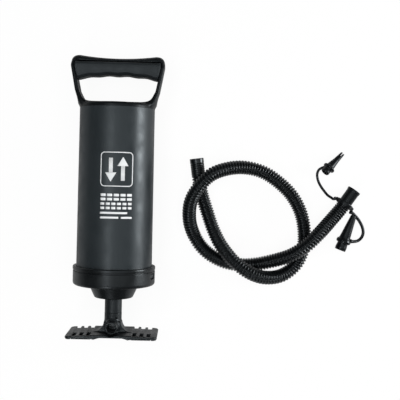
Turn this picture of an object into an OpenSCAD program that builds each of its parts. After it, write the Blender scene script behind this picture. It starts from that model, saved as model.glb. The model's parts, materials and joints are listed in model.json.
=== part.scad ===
// Double action hand pump, lying on its back beside its hose and nozzles.
// Pump parts are drawn standing: the sole at z = 0, the axis up +Z and the front towards -Y.
// on_pump() then lays them on their back, with the handle towards +Y and the front up.

/* [Barrel] */
// Outer radius of the barrel beside the end cap
barrel_low_r = 48.5; // [47.5:0.1:48.6]
// Outer radius of the barrel at its head
barrel_top_r = 47.7; // [47:0.1:48.4]
// Radius of the bore that the piston runs in
bore_r = 45.2; // [44:0.1:45.4]
// Height of the barrel's open rim above the sole
barrel_low = 74; // [74:0.5:75]
// Height of the barrel's upper end above the sole
barrel_top = 290; // [288:0.5:292]
// Width of a bayonet lug on the barrel
lug_w = 10; // [8:0.5:12]

/* [End cap] */
// Outer radius of the end cap's band
band_r = 52.6; // [52:0.1:52.8]
// Outer radius of the lip above the band
lip_r = 53; // [52.9:0.1:54]
// Height of the lip's upper face above the sole
lip_top = 91; // [90:0.5:92]
// Height of the lip's lower edge
lip_low = 86.5; // [86:0.1:87]
// Height of the band's underside
band_low = 66; // [65:0.5:66]
// Radius of the cone where it meets the band
cone_top_r = 32; // [30:0.5:34]
// Radius of the cone at its lower end
cone_low_r = 25; // [24:0.5:27]
// Height of the cone's lower face above the sole
cone_low = 50; // [48:0.5:51]
// Height of the end cap's inner floor
cap_floor = 70; // [69.5:0.5:70]
// Azimuth of the first bayonet window, measured from the front towards +X
window_az = 74; // [60:1:90]

/* [Handle] */
// Half of the handle's overall width
handle_half_w = 59.6; // [58:0.2:61]
// Height of the handle's top corners above the sole
handle_top = 358.8; // [356:0.2:361]
// How far the top edge dips between the corners
handle_dip = 3.4; // [2:0.2:5]
// Depth of the handle's top rail, front to back
rail_depth = 27; // [24:0.5:30]
// Height of the head's upper face above the sole
head_top = 297.5; // [296:0.5:299]
// Height of the seam between the top rail and the grip
rail_low = 351; // [350:0.5:352]

/* [Grip] */
// Half of the grip's width
grip_half_w = 54.5; // [53:0.5:55]
// Depth of each grip shell in front of and behind the middle plane
grip_depth = 15.5; // [14.5:0.5:17]
// Height of the grip's lower edge at the middle
grip_low = 333; // [331:0.5:335]
// How far the grip's lower edge drops towards its ends
grip_drop = 6; // [3:0.5:8]
// Height of the finger scallops
scallop_h = 0.5; // [0.2:0.1:1]

/* [Rod] */
// Outer radius of the outer rod tube
rod_r = 11; // [10.5:0.1:11]
// Inner radius of the outer rod tube
rod_bore_r = 9; // [8.5:0.1:9.2]
// Outer radius of the inner rod tube
inner_tube_r = 6; // [5.6:0.1:6.2]
// Inner radius of the inner rod tube
inner_tube_bore_r = 4.8; // [4.4:0.1:5]
// Radius of the lock pin through the neck
lock_pin_r = 1.6; // [1.2:0.1:2]
// Azimuth of the lock pin, measured from the front towards +X
lock_pin_az = 29; // [0:1:60]

/* [Piston] */
// Radius of the piston's shells
piston_r = 44.4; // [43.5:0.1:44.6]
// Height of the piston's lower face at rest
piston_low = 262; // [261:0.5:262]
// Thickness of each half of the piston
piston_half_h = 12; // [12:0.5:12.5]
// Radial clearance of the ring seal in the bore
ring_gap = 0.08; // [0.02:0.01:0.1]
// Distance of the flap valves from the axis
valve_x = 24; // [22:0.5:26]

/* [Foot] */
// Half of the foot's width
foot_half_w = 58; // [56:0.5:60]
// Depth of the foot, front to back
foot_depth = 62; // [56:1:70]
// Thickness of the foot at the middle
foot_t = 5.8; // [5:0.2:7]
// Thickness of the wing tips above the sole
tip_t = 4.2; // [4:0.2:5]
// Outer radius of the neck socket
socket_r = 11.3; // [11.3:0.1:12]
// Height of the top of the neck socket
socket_top = 30; // [29:0.5:31]

/* [Ports] */
// Height of the port axis above the sole
port_h = 13.6; // [13.5:0.1:14]
// Outer radius of a port
port_r = 7.8; // [7.6:0.1:8]
// Bore radius of a port
port_bore_r = 5.3; // [5:0.1:5.4]
// Distance from the axis to the mouth of a port
port_reach = 25; // [24:0.5:27]
// Radius of the collar that a cuff stops against
port_collar_r = 9.2; // [8.8:0.1:9.4]
// Distance from the axis to the collar's face
port_collar_reach = 12.4; // [12:0.1:14]

/* [Hose] */
// Outer radius of the corrugated hose
hose_r = 9.3; // [9.2:0.05:9.4]
// Length of the plain cuff at the hose's open end
cuff_len = 24; // [20:1:28]
// Bore radius of the cuff, a press fit on the pump's port
cuff_bore_r = 7.75; // [7.6:0.05:7.8]
// Length of the smooth sleeve at the hose's far end
sleeve_len = 28; // [25:1:30]
// Outer radius of the sleeve
sleeve_r = 9.2; // [9:0.1:9.3]
// Bore radius of the sleeve, which takes a nozzle's plug
sleeve_bore_r = 7.6; // [7.5:0.05:7.7]

/* [Nozzles] */
// Plug radius of the large nozzle
large_plug_r = 7.5; // [7.3:0.05:7.5]
// Flange radius of the large nozzle
large_flange_r = 10; // [9.5:0.1:10.5]
// Length of the large nozzle
large_len = 50; // [46:1:54]
// Tip radius of the large nozzle
large_tip_r = 3.75; // [3.5:0.05:4]
// Plug radius of the small nozzle
small_plug_r = 5.6; // [5.2:0.1:6]
// Flange radius of the small nozzle
small_flange_r = 8.5; // [8:0.1:9]
// Length of the small nozzle with its prongs
small_len = 38; // [35:1:41]
// Radius of the small nozzle's tether strap
small_strap_r = 1.5; // [1.3:0.1:1.7]
// Radius of the large nozzle's tether strap
large_strap_r = 2; // [1.8:0.1:2.2]

/* [Hidden] */
$fn = 64;
// Cutters reach this far past the faces they open
cut = 1;

// Colours
graphite = [0.20, 0.22, 0.23];
black = [0.09, 0.10, 0.10];
rubber_black = [0.06, 0.06, 0.06];
steel_grey = [0.62, 0.63, 0.64];
nylon_grey = [0.45, 0.47, 0.48];

// Laying the pump down: it rests on the lip's edge and on the edge of the head
lip_round = 1.2;
head_round = 3;
lip_edge = lip_top - lip_round;
head_edge = head_top - head_round;
lay_tilt = atan((lip_r - barrel_top_r) / (head_edge - lip_edge));
lay_z = lip_r * cos(lay_tilt) + lip_edge * sin(lay_tilt);
lay_y = -180;

// Barrel and end cap
gasket_t = 2;
skirt_in_r = 48.6;
lug_out = 51.6;
lug_low = barrel_low + 3;
lug_h = 5;
window_slack = 1.2;
groove_depth = 0.9;
groove_h = 1;
cap_hole_r = 11.6;
cap_hole_h = 3;
bush_out_r = 13.5;
rod_slide_gap = 0.05;
bush_top = 62;
seal_out_r = 16;
seal_top = 67;
retainer_r = 24;
retainer_screw_ring = 20.5;
retainer_screw_r = 1.2;
retainer_screw_head_r = 2.3;
retainer_screw_head_h = 1.4;
retainer_screw_low = 61;

// Handle and grip
spigot_h = 3.4;
spigot_wall = 3.2;
spigot_gap = 0.05;
arm_root_in = 41;
arm_root_depth = 40;
arm_root_t = 0.4;
// Each arm's level slices: height, inner x, outer x and depth
arm_low_slice = [301, 43.6, 50.2, 36];
arm_mid_slice = [314, 48.8, 53.8, 29];
arm_high_slice = [346, 55, handle_half_w, rail_depth];
arm_corner_r = 1.8;
arm_slice_t = 0.2;
top_edge_half = 48;
top_edge_step = 8;
rail_corner_r = 9;
rail_seam_dip = 0.6;
core_depth = 8;
core_low = 338;
grip_screw_xs = [-36, 0, 36];
grip_screw_h = 344;
grip_screw_r = 1.3;
grip_screw_head_r = 2.8;
grip_screw_head_h = 2;
grip_screw_slack = 0.2;
scallop_pitch = 24;
grip_end_gap = 0.4;
grip_steps = 27;
grip_skin = 3.2;
grip_pocket_h = 8;
grip_curve = 2.4;

// Rod, passages and foot
rod_step = socket_top;
rod_spigot_r = 9.4;
rod_spigot_bore_r = 7.6;
rod_foot_low = 20;
rod_top = piston_low + 4;
inner_tube_low = 13;
inner_tube_top = piston_low + 15;
plenum_low = 17;
chamber_low = 9;
front_duct_r = 3.2;
cuff_room_r = 9.8;
back_duct_depth = 7.2;
lock_pin_h = 24.2;
lock_pin_in = 7.9;
lock_pin_out = 11.7;
web_half = 24.5;
web_depth = 19;
web_top = 19.3;
web_notch_r = 13.4;
knee_x = 20;
arch_x = 16;
arch_h = 2.2;
wing_relief = 2.2;
toe_x = 50;
sole_t = 0.4;
foot_corner_r = 6;
groove_xs = [29, 38, 47];
groove_w = 5.4;
groove_cut = 0.9;
groove_back = 6;
slot_w = 4.4;
slot_d = 20;
slot_from_front = 14;
notch_d = 8;

// Piston
divider_t = 2;
shell_t = 3;
shell_wall = 4.4;
hub_r = 15;
hub_low = piston_low - 4;
ring_h = 6;
ring_groove_r = 42;
ring_slack = 0.1;
chimney_r = 6;
chimney_bore_r = 4.2;
port_ring_r = 2.9;
port_hole_r = 1;
stem_hole_r = 1.1;
stem_gap = 0.06;
flap_r = 4.6;
flap_t = 1.2;
stem_len = 2.6;
piston_screw_ring = 36;
piston_screw_r = 1.5;
piston_screw_head_r = 2.8;
piston_boss_r = 4;
bumper_in_r = 30;
bumper_out_r = 40;
top_bumper_h = 2.6;
bottom_bumper_h = 5.5;
divider_low = piston_low + piston_half_h - divider_t / 2;
divider_top = divider_low + divider_t;
piston_top = piston_low + 2 * piston_half_h;

// Hose route, in the lying frame: x, y and the rise above the height of a hose that lies flat
hose_route = [
    [106.7, 27.3, 0], [111.5, 3.7, 0], [119.3, -19.9, 0], [128, -43.6, 2], [139.6, -65.2, 9],
    [156.1, -84, 18], [175.5, -97.7, 20], [197.8, -105.6, 13], [222, -103.7, 4], [241.4, -88.9, 0],
    [251.1, -65.2, 0], [251.1, -40.6, 0], [245.3, -17, 0], [232.7, 4.7, 0], [215.2, 21.4, 0],
    [194.9, 34.2, 0], [171.6, 40.2, 2], [148.4, 39.2, 9], [125.1, 31.3, 17], [108.6, 15.5, 20],
    [97, -6.1, 15], [96, -31.8, 6], [103.8, -54.4, 0], [118.3, -73.1, 0], [139.6, -85.9, 0],
    [162.9, -90.9, 0], [186.1, -89.9, 0], [209.4, -84, 5], [231.7, -75.1, 14], [251.1, -61.3, 20],
    [268.5, -44.6, 17], [285, -27.8, 8], [301.5, -9.1, 2]
];
cuff_turn = 8;
sleeve_turn = 56;
sleeve_rise = 2;
sleeve_at = [301.5, -9.1, hose_r + sleeve_rise];
hose_rings = 50;
hose_sides = 12;
end_lead = 25;

// Tether ring and straps
tether_ring_at = 5;
tether_ring_w = 6;
tether_ring_r = 11.1;
tether_lug_reach = 14.5;
tether_lug_w = 5;
tether_lug_t = 3;
strap_small_route = [
    [289, -0.1, 11], [286.5, 1.9, 9], [282.5, 5.9, 5], [277.5, 11.9, 2], [272.5, 18.9, 1.5], [269.5, 24.9, 1.5],
    [268, 30.9, 1.5], [268, 35.9, 2], [270, 40.4, 3], [274, 42.9, 4.5], [277.5, 43.4, 5.5]
];
strap_large_route = [
    [313.5, -15.6, 10], [316, -17.1, 7.5], [319.5, -19.6, 4.2], [324.5, -24.6, 2.5], [329.5, -31.1, 2],
    [333, -38.1, 2], [334, -45.1, 2], [331.5, -51.1, 2.5], [326, -55.1, 4.5], [319.5, -56.1, 7.5],
    [314.5, -55.6, 9]
];
strap_rings = 14;
strap_sides = 8;

// Nozzles
large_at = [300.8, -67.7, large_flange_r];
large_turn = 70;
large_plug_len = 12;
large_flange_top = large_plug_len + 3;
large_cone_r = 7.25;
large_tip_bore_r = 2.6;
large_plug_bore_r = 5.8;
small_turn = 46;
small_plug_len = 8;
small_flange_top = small_plug_len + 3;
small_cone_r = 5;
small_neck_r = 3.2;
small_neck_at = 28;
small_bore_r = 1.8;
small_plug_bore_r = 4;
small_slit_w = 2.4;
small_slit_len = 9;
small_tip_r = 2.8;
small_rest_tilt = atan((small_flange_r - small_tip_r) / (small_len - small_flange_top));
small_at = [
    275.8, 36.4,
    small_flange_r * cos(small_rest_tilt) + small_flange_top * sin(small_rest_tilt)
];

// Lays a standing pump part on its back
module on_pump() {
    translate([0, lay_y, lay_z]) rotate([-90 - lay_tilt, 0, 0]) children();
}

// A tube standing on its lower end
module pipe(outer, inner, low, top) {
    translate([0, 0, low]) difference() {
        cylinder(r = outer, h = top - low);
        translate([0, 0, -cut]) cylinder(r = inner, h = top - low + 2 * cut);
    }
}

// A solid cylinder between two heights
module post(r, low, top) {
    translate([0, 0, low]) cylinder(r = r, h = top - low);
}

// Points on an arc, from one angle to another
function arc(cx, cy, r, from, to, steps = 6) =
    [for (i = [0:steps]) let (a = from + (to - from) * i / steps) [cx + r * cos(a), cy + r * sin(a)]];

// One point of a smooth curve through four neighbours
function curve_point(a, b, c, d, t) =
    0.5 * (2 * b + (c - a) * t + (2 * a - 5 * b + 4 * c - d) * t * t
        + (3 * b - a - 3 * c + d) * t * t * t);

// A point at position u along a route that has a lead point before and after it
function along(route, u) =
    let (i = min(floor(u), len(route) - 4))
    curve_point(route[i], route[i + 1], route[i + 2], route[i + 3], u - i);

// The way a route heads at position u, square to what it joins at its two ends
function heading(route, u) =
    let (last = len(route) - 3)
    u <= 0 ? route[1] - route[0]
        : u >= last ? route[last + 2] - route[last + 1]
        : along(route, min(u + 0.01, last)) - along(route, max(u - 0.01, 0));

// A ring of points around a route at position u
function ring_at(route, u, r, sides) =
    let (
        p = along(route, u),
        ahead = heading(route, u),
        t = ahead / norm(ahead),
        across = cross(t, [0, 0, 1]),
        side = across / norm(across),
        rise = cross(side, t)
    )
    [for (k = [0:sides - 1]) p + r * (cos(360 * k / sides) * side + sin(360 * k / sides) * rise)];

// A closed tube swept along a route
module swept_tube(route, r, rings, sides) {
    span = len(route) - 3;
    points = [for (j = [0:rings]) each ring_at(route, span * j / rings, r, sides)];
    walls = [for (j = [0:rings - 1]) for (k = [0:sides - 1])
        [j * sides + k, j * sides + (k + 1) % sides,
            (j + 1) * sides + (k + 1) % sides, (j + 1) * sides + k]];
    first_cap = [for (k = [0:sides - 1]) sides - 1 - k];
    last_cap = [for (k = [0:sides - 1]) rings * sides + k];
    polyhedron(points = points, faces = concat([first_cap], walls, [last_cap]), convexity = 10);
}

// A route with lead points that continue its ends
function with_leads(route, first, last) = concat([first], route, [last]);

function plain_leads(route) =
    with_leads(route, 2 * route[0] - route[1], 2 * route[len(route) - 1] - route[len(route) - 2]);

// ---- Barrel and handle ----

module barrel() color(graphite) on_pump() {
    rotate_extrude() polygon([
        [bore_r, barrel_low], [barrel_low_r, barrel_low], [barrel_low_r, lip_top],
        [barrel_top_r, barrel_top], [bore_r, barrel_top]
    ]);
    for (turn = [0, 180]) rotate([0, 0, window_az + turn])
        translate([-lug_w / 2, -lug_out, lug_low]) difference() {
            cube([lug_w, lug_out - bore_r - 2, lug_h]);
            translate([lug_w / 2, lug_out, -cut]) cylinder(r = barrel_low_r - 1, h = lug_h + 2 * cut);
        }
}

// A level slice through a handle arm: its height, inner x, outer x and depth
module arm_slice(s) {
    translate([(s[1] + s[2]) / 2, 0, s[0]]) linear_extrude(arm_slice_t) offset(r = arm_corner_r)
        square([s[2] - s[1] - 2 * arm_corner_r, s[3] - 2 * arm_corner_r], center = true);
}

// The arm's root follows the round wall of the barrel
module arm_root() {
    translate([0, 0, barrel_top]) intersection() {
        cylinder(r = barrel_top_r, h = arm_root_t);
        translate([arm_root_in, -arm_root_depth / 2, 0]) cube([barrel_top_r, arm_root_depth, arm_root_t]);
    }
}

module handle_arm() {
    hull() {
        arm_root();
        arm_slice(arm_low_slice);
    }
    hull() {
        arm_slice(arm_low_slice);
        arm_slice(arm_mid_slice);
    }
    hull() {
        arm_slice(arm_mid_slice);
        arm_slice(arm_high_slice);
    }
}

// Height of the top edge at a distance from the middle
function top_edge(x) = handle_top - handle_dip * (1 - pow(abs(x) / top_edge_half, 2));

module top_rail() {
    mid = handle_top - handle_dip;
    outline = concat(
        [for (x = [-top_edge_half:top_edge_step:top_edge_half]) [x, top_edge(x)]],
        arc(handle_half_w - rail_corner_r, handle_top - rail_corner_r, rail_corner_r, 80, 0),
        [[handle_half_w, arm_high_slice[0]], [grip_half_w, arm_high_slice[0]], [grip_half_w, rail_low],
            [0, rail_low - rail_seam_dip], [-grip_half_w, rail_low], [-grip_half_w, arm_high_slice[0]],
            [-handle_half_w, arm_high_slice[0]]],
        arc(-handle_half_w + rail_corner_r, handle_top - rail_corner_r, rail_corner_r, 180, 100)
    );
    translate([0, rail_depth / 2, 0]) rotate([90, 0, 0]) linear_extrude(rail_depth) polygon(outline);
    translate([-grip_half_w - 1, -core_depth / 2, core_low])
        cube([2 * grip_half_w + 2, core_depth, mid - core_low - 2]);
}

module handle_frame() color(graphite) on_pump() difference() {
    union() {
        rotate_extrude() polygon(concat(
            [[0, barrel_top], [barrel_top_r, barrel_top], [barrel_top_r, head_edge]],
            arc(barrel_top_r - head_round, head_edge, head_round, 15, 90, 5),
            [[0, head_top]]
        ));
        pipe(bore_r - spigot_gap, bore_r - spigot_wall, barrel_top - spigot_h, barrel_top + cut);
        for (side = [0, 1]) mirror([side, 0, 0]) handle_arm();
        top_rail();
    }
    for (x = grip_screw_xs) translate([x, core_depth, grip_screw_h]) rotate([90, 0, 0])
        cylinder(r = grip_screw_r + grip_screw_slack, h = 2 * core_depth);
}

// Distance from the middle to an arm's inner face at a height
function arm_inside(h) =
    arm_mid_slice[1] + (arm_high_slice[1] - arm_mid_slice[1]) * (h - arm_mid_slice[0])
        / (arm_high_slice[0] - arm_mid_slice[0]);

// Height of the grip's lower edge at a distance from the middle
function grip_edge(x) =
    grip_low - grip_drop * pow(abs(x) / grip_half_w, grip_curve)
        + scallop_h * (1 - cos(360 * x / scallop_pitch));

module grip_outline() {
    low_x = arm_inside(grip_low - grip_drop) - grip_end_gap;
    end_x = grip_half_w - grip_end_gap;
    slant = (arm_high_slice[0] - arm_mid_slice[0]) / (arm_high_slice[1] - arm_mid_slice[1]);
    end_h = arm_mid_slice[0] + slant * (grip_half_w - arm_mid_slice[1]);
    polygon(concat(
        [for (i = [-grip_steps:grip_steps]) let (x = i * low_x / grip_steps) [x, grip_edge(x)]],
        [[end_x, end_h], [end_x, rail_low], [0, rail_low - rail_seam_dip]],
        [[-end_x, rail_low], [-end_x, end_h]]
    ));
}

// One half of the grip, in front of the middle plane, with room for the core
module grip_half() {
    difference() {
        rotate([90, 0, 0]) linear_extrude(grip_depth) grip_outline();
        translate([-grip_half_w, -core_depth / 2, core_low])
            cube([2 * grip_half_w, core_depth, rail_low]);
        translate([-grip_half_w, -grip_depth + grip_skin, core_low])
            cube([2 * grip_half_w, grip_depth - core_depth / 2 - grip_skin - 3, grip_pocket_h]);
    }
}

module grip_front() color(black) on_pump() difference() {
    grip_half();
    for (x = grip_screw_xs) translate([x, 0, grip_screw_h]) rotate([90, 0, 0])
        cylinder(r = grip_screw_r, h = 9);
}

module grip_rear() color(black) on_pump() difference() {
    mirror([0, 1, 0]) grip_half();
    for (x = grip_screw_xs) translate([x, grip_depth + cut, grip_screw_h]) rotate([90, 0, 0]) {
        cylinder(r = grip_screw_head_r + grip_screw_slack, h = grip_screw_head_h + cut);
        cylinder(r = grip_screw_r + grip_screw_slack, h = grip_depth + 2 * cut);
    }
}

module grip_screws() color(steel_grey) on_pump() {
    for (x = grip_screw_xs) translate([x, grip_depth - 0.2, grip_screw_h]) rotate([90, 0, 0]) {
        difference() {
            cylinder(r = grip_screw_head_r, h = grip_screw_head_h - 0.2);
            translate([0, 0, -cut]) cylinder(r = 1.2, h = 1 + cut, $fn = 6);
        }
        cylinder(r = grip_screw_r, h = grip_depth + 8);
    }
}

// ---- End cap ----

module end_cap() color(black) on_pump() difference() {
    rotate_extrude() polygon(concat(
        [[cap_hole_r, cone_low], [cone_low_r - 2.5, cone_low]],
        arc(cone_low_r - 2.4, cone_low + 2.4, 2.4, -70, -20, 3),
        [[cone_top_r, band_low], [45, band_low]],
        arc(45.1, band_low + 7.5, 7.5, -78, 0, 6),
        [[band_r, lip_low - groove_h], [band_r - groove_depth, lip_low - groove_h],
            [band_r - groove_depth, lip_low], [lip_r, lip_low + 0.4]],
        arc(lip_r - lip_round, lip_edge, lip_round, 0, 90, 4),
        [[skirt_in_r, lip_top], [skirt_in_r, barrel_low - gasket_t], [bore_r, barrel_low - gasket_t],
            [bore_r, cap_floor], [retainer_r, cap_floor], [retainer_r, seal_top],
            [seal_out_r, seal_top], [seal_out_r, bush_top], [bush_out_r, bush_top],
            [bush_out_r, cone_low + cap_hole_h], [cap_hole_r, cone_low + cap_hole_h]]
    ));
    for (turn = [0, 180]) rotate([0, 0, window_az + turn])
        translate([-lug_w / 2 - window_slack, -lip_r - cut, lug_low - window_slack])
            cube([lug_w + 2 * window_slack, 7, lug_h + 2 * window_slack]);
    for (i = [0:2]) rotate([0, 0, 120 * i]) translate([retainer_screw_ring, 0, 0])
        post(retainer_screw_r, retainer_screw_low, seal_top + cut);
}

module cap_gasket() color(rubber_black) on_pump()
    pipe(skirt_in_r, bore_r, barrel_low - gasket_t, barrel_low);

module rod_bush() color(nylon_grey) on_pump()
    pipe(bush_out_r, rod_r + rod_slide_gap, cone_low + cap_hole_h, bush_top);

module rod_seal() color(rubber_black) on_pump()
    pipe(seal_out_r, rod_r + rod_slide_gap, bush_top, seal_top);

module seal_retainer() color(nylon_grey) on_pump() difference() {
    pipe(retainer_r, rod_r + 1, seal_top, cap_floor);
    for (i = [0:2]) rotate([0, 0, 120 * i]) translate([retainer_screw_ring, 0, 0]) {
        post(retainer_screw_r, seal_top - cut, cap_floor + cut);
        post(retainer_screw_head_r, cap_floor - retainer_screw_head_h, cap_floor + cut);
    }
}

module retainer_screws() color(steel_grey) on_pump()
    for (i = [0:2]) rotate([0, 0, 120 * i]) translate([retainer_screw_ring, 0, 0]) {
        post(retainer_screw_r, retainer_screw_low, cap_floor - retainer_screw_head_h);
        post(retainer_screw_head_r, cap_floor - retainer_screw_head_h, cap_floor);
    }

module top_bumper() color(rubber_black) on_pump()
    pipe(bumper_out_r, bumper_in_r, barrel_top - top_bumper_h, barrel_top);

module bottom_bumper() color(rubber_black) on_pump()
    pipe(bumper_out_r, bumper_in_r, cap_floor, cap_floor + bottom_bumper_h);

// ---- Piston and its valves ----

// Seat of a flap valve: a stem hole inside a ring of air holes
module valve_holes(low, top) {
    post(stem_hole_r, low, top);
    for (i = [0:5]) rotate([0, 0, 60 * i]) translate([port_ring_r, 0, 0]) post(port_hole_r, low, top);
}

module screw_ring() {
    for (i = [0:3]) rotate([0, 0, 45 + 90 * i]) translate([piston_screw_ring, 0, 0]) children();
}

module piston_ring() color(rubber_black) on_pump()
    pipe(bore_r - ring_gap, ring_groove_r + ring_slack,
        divider_low + divider_t / 2 - ring_h / 2 + ring_slack,
        divider_low + divider_t / 2 + ring_h / 2 - ring_slack);

module piston_lower() color(nylon_grey) on_pump() difference() {
    union() {
        difference() {
            post(piston_r, piston_low, divider_low);
            post(piston_r - shell_wall, piston_low + shell_t, divider_low + cut);
        }
        post(hub_r, hub_low, rod_top);
        post(rod_r + 3, rod_top, rod_top + 1);
        translate([-valve_x, 0, 0]) post(chimney_r, piston_low, divider_low);
        screw_ring() post(piston_boss_r, piston_low, divider_low);
    }
    post(rod_r, hub_low - cut, rod_top);
    post(rod_bore_r, rod_top - cut, divider_low);
    difference() {
        post(piston_r + cut, divider_low + divider_t / 2 - ring_h / 2, divider_low + cut);
        post(ring_groove_r, divider_low - ring_h, divider_low + 2 * cut);
    }
    translate([valve_x, 0, 0]) valve_holes(piston_low - cut, piston_low + shell_t + cut);
    translate([-valve_x, 0, 0]) post(chimney_bore_r, piston_low - cut, divider_low + cut);
    screw_ring() post(piston_screw_r, piston_low + 1.5, divider_low + cut);
}

module piston_divider() color(nylon_grey) on_pump() difference() {
    post(ring_groove_r, divider_low, divider_top);
    post(inner_tube_r, divider_low - cut, divider_top + cut);
    translate([-valve_x, 0, 0]) valve_holes(divider_low - cut, divider_top + cut);
    translate([valve_x, 0, 0]) post(chimney_bore_r, divider_low - cut, divider_top + cut);
    screw_ring() post(piston_screw_r, divider_low - cut, divider_top + cut);
}

module piston_upper() color(nylon_grey) on_pump() difference() {
    union() {
        difference() {
            post(piston_r, divider_top, piston_top);
            post(piston_r - shell_wall, divider_top - cut, piston_top - shell_t);
        }
        translate([valve_x, 0, 0]) post(chimney_r, divider_top, piston_top);
        screw_ring() post(piston_boss_r, divider_top, piston_top);
    }
    difference() {
        post(piston_r + cut, divider_top - cut, divider_low + divider_t / 2 + ring_h / 2);
        post(ring_groove_r, divider_low - cut, divider_top + ring_h);
    }
    translate([-valve_x, 0, 0]) valve_holes(piston_top - shell_t - cut, piston_top + cut);
    translate([valve_x, 0, 0]) post(chimney_bore_r, divider_top - cut, piston_top - 2);
    translate([valve_x, 0, 0]) valve_holes(piston_top - shell_t - cut, piston_top + cut);
    screw_ring() {
        post(piston_screw_r, divider_top - cut, piston_top + cut);
        post(piston_screw_head_r, piston_top - 2, piston_top + cut);
    }
}

module piston_screws() color(steel_grey) on_pump() screw_ring() {
    post(piston_screw_r, piston_low + 1.5, piston_top - 2);
    post(piston_screw_head_r, piston_top - 2, piston_top - 0.2);
}

// A flap valve on a seat, with its stem pointing back through the seat
module flap(x, seat, facing) {
    translate([x, 0, seat]) mirror([0, 0, facing < 0 ? 1 : 0]) {
        cylinder(r = flap_r, h = flap_t);
        translate([0, 0, -stem_len]) cylinder(r = stem_hole_r - stem_gap, h = stem_len + flap_t / 2);
    }
}

module upper_inlet_flap() color(rubber_black) on_pump() flap(valve_x, piston_top, 1);
module upper_outlet_flap() color(rubber_black) on_pump() flap(-valve_x, piston_top - shell_t, -1);
module lower_inlet_flap() color(rubber_black) on_pump() flap(valve_x, piston_low, -1);
module lower_outlet_flap() color(rubber_black) on_pump() flap(-valve_x, divider_top, 1);

// ---- Rod and foot ----

module rod_outer_tube() color(black) on_pump() difference() {
    union() {
        post(rod_r, rod_step, rod_top);
        post(rod_spigot_r, rod_foot_low, rod_step + cut);
    }
    post(rod_bore_r, rod_step + 3, rod_top + cut);
    post(rod_spigot_bore_r, rod_foot_low - cut, rod_step + 4);
    lock_pin_hole();
}

module lock_pin_hole() {
    rotate([0, 0, lock_pin_az]) translate([0, -lock_pin_in, lock_pin_h]) rotate([90, 0, 0])
        cylinder(r = lock_pin_r, h = 10);
}

module rod_inner_tube() color(nylon_grey) on_pump()
    pipe(inner_tube_r, inner_tube_bore_r, inner_tube_low, inner_tube_top);

module lock_pin() color(black) on_pump()
    rotate([0, 0, lock_pin_az]) translate([0, -lock_pin_in - 0.1, lock_pin_h]) rotate([90, 0, 0])
        cylinder(r = lock_pin_r, h = lock_pin_out - lock_pin_in);

// Height of a wing's upper face at a distance from the middle
function wing_top(x) = foot_t - (foot_t - tip_t) * (x - web_half) / (foot_half_w - web_half);

// Front view of one half of the plate, from the middle to a wing tip
module wing_outline() {
    polygon([
        [0, arch_h], [arch_x, arch_h], [knee_x, sole_t], [knee_x + 1.5, 0], [knee_x + 3, sole_t],
        [toe_x - 1, wing_relief], [toe_x, wing_relief], [toe_x + 0.6, 0], [foot_half_w - 1, 0],
        [foot_half_w, 1], [foot_half_w, tip_t - 0.8], [foot_half_w - 0.8, tip_t], [web_half, foot_t],
        [0, foot_t]
    ]);
}

module plate() {
    intersection() {
        translate([0, foot_depth / 2, 0]) rotate([90, 0, 0]) linear_extrude(foot_depth)
            for (side = [0, 1]) mirror([side, 0]) wing_outline();
        translate([0, 0, -cut]) linear_extrude(foot_t + 2 * cut)
            polygon([for (corner = [0:3]) each foot_corner(corner)]);
    }
}

// Plan of one rounded corner, counted round from the front right
function foot_corner(i) =
    let (
        sx = (i == 0 || i == 1) ? 1 : -1,
        sy = (i == 1 || i == 2) ? 1 : -1,
        from = [-90, 0, 90, 180][i]
    )
    arc(sx * (foot_half_w - foot_corner_r - (sy > 0 ? 0.6 : 0)), sy * (foot_depth / 2 - foot_corner_r),
        foot_corner_r, from, from + 90, 5);

module web() {
    translate([0, web_depth / 2, 0]) rotate([90, 0, 0]) linear_extrude(web_depth) difference() {
        translate([-web_half, foot_t - 1.2]) square([2 * web_half, web_top - foot_t + 1.2]);
        for (side = [-1, 1]) translate([side * (web_half + 0.1), web_top]) circle(r = web_notch_r);
    }
}

module port_spout() {
    translate([0, 0, port_h]) rotate([90, 0, 0]) {
        cylinder(r = port_r, h = port_reach);
        cylinder(r = port_collar_r, h = port_collar_reach);
    }
}

// Room in the plate for the cuff that is pushed over a port
module cuff_room() {
    translate([0, -port_collar_reach, port_h]) rotate([90, 0, 0]) cylinder(r = cuff_room_r, h = foot_depth);
}

module foot() color(black) on_pump() difference() {
    union() {
        difference() {
            plate();
            for (side = [0, 1]) mirror([0, side, 0]) cuff_room();
        }
        web();
        post(socket_r, foot_t - 1, socket_top);
        for (side = [0, 1]) mirror([0, side, 0]) port_spout();
    }
    // The rod's socket, the outer passage and the seat of the inner tube
    post(rod_spigot_r, rod_foot_low, socket_top + cut);
    post(rod_spigot_r, plenum_low, rod_foot_low + cut);
    post(inner_tube_r, inner_tube_low, plenum_low + cut);
    post(inner_tube_bore_r, chamber_low, inner_tube_low + cut);
    // Front port to the inner tube, back port to the outer passage
    translate([0, 0, port_h]) rotate([90, 0, 0]) {
        translate([0, 0, socket_r]) cylinder(r = port_bore_r, h = port_reach);
        translate([0, 0, inner_tube_bore_r - 1.5]) cylinder(r = front_duct_r, h = socket_r);
        translate([0, 0, -port_reach - cut])
            cylinder(r = port_bore_r, h = port_reach + cut - back_duct_depth);
    }
    // Grooves, slots and back notches of the wings
    for (side = [-1, 1]) for (x = groove_xs) translate([side * x, 0, 0]) {
        translate([-groove_w / 2, -foot_depth / 2 - cut, wing_top(x) - groove_cut])
            cube([groove_w, foot_depth - groove_back, foot_t]);
        translate([-slot_w / 2, -foot_depth / 2 + slot_from_front - slot_d / 2, -cut])
            cube([slot_w, slot_d, foot_t + 2 * cut]);
        translate([-groove_w / 2, foot_depth / 2 - notch_d, -cut])
            cube([groove_w, notch_d + cut, foot_t + 2 * cut]);
    }
    lock_pin_hole();
}

// ---- Hose, tethers and nozzles ----

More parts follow.
